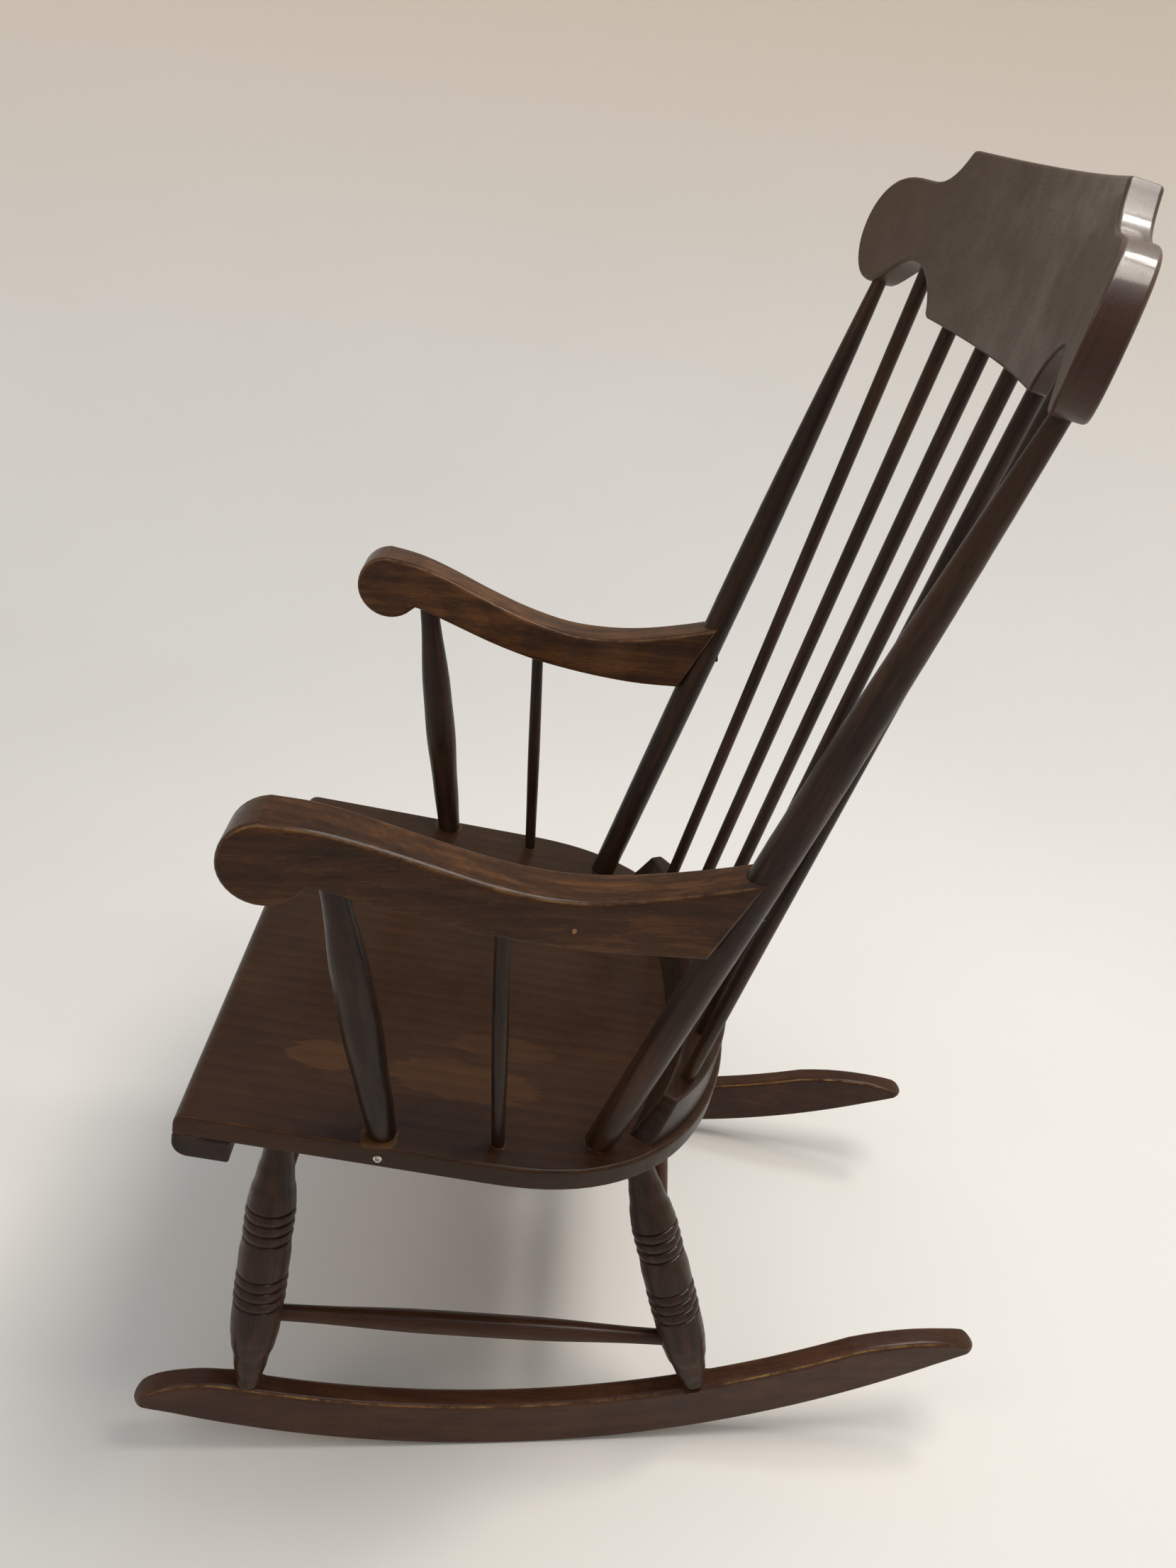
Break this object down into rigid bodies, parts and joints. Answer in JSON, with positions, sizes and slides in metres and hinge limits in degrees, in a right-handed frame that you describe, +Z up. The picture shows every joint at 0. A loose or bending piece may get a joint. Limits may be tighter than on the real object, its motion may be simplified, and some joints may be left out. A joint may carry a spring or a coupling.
{
  "type": "rocking chair",
  "caption": "Dark stained wooden rocking chair with a scrolled crest, round back spindles, rolled armrests, a thin tilted seat, ring-turned legs and long curved rockers.",
  "frame": {"origin": "bottom centre of the bounding box, on the floor under the rockers", "axes": "+Z up, the sitter faces -Y, the sitter's left hand is on +X"},
  "size_m": [0.612, 0.7522, 1.0873],
  "materials": {
    "frame_wood": "dark brown stained beech, satin lacquer, worn on the edges",
    "seat_wood": "dark brown stained beech, satin lacquer with paler ring tips",
    "arm_wood": "brown stained beech, satin lacquer, rubbed lighter on top",
    "screw_steel": "nickel plated"
  },
  "bodies": {
    "root": {"seat_plank": "seat_wood", "front_roll": "frame_wood", "back_rail": "frame_wood", "crest_rail": "frame_wood", "left_back_post": "frame_wood", "right_back_post": "frame_wood", "back_spindle_1": "frame_wood", "back_spindle_2": "frame_wood", "back_spindle_3": "frame_wood", "back_spindle_4": "frame_wood", "back_spindle_5": "frame_wood", "back_spindle_6": "frame_wood", "left_armrest": "arm_wood", "right_armrest": "arm_wood", "left_arm_stump": "frame_wood", "right_arm_stump": "frame_wood", "left_arm_spindle": "frame_wood", "right_arm_spindle": "frame_wood", "front_left_leg": "frame_wood", "front_right_leg": "frame_wood", "rear_left_leg": "frame_wood", "rear_right_leg": "frame_wood", "left_side_stretcher": "frame_wood", "right_side_stretcher": "frame_wood", "front_cross_stretcher": "frame_wood", "rear_cross_stretcher": "frame_wood", "left_rocker": "frame_wood", "right_rocker": "frame_wood", "roll_screws": "screw_steel", "rail_screws": "screw_steel", "arm_screws": "screw_steel", "post_plugs": "frame_wood", "stump_lock_screws": "screw_steel"}
  },
  "joints": []
}
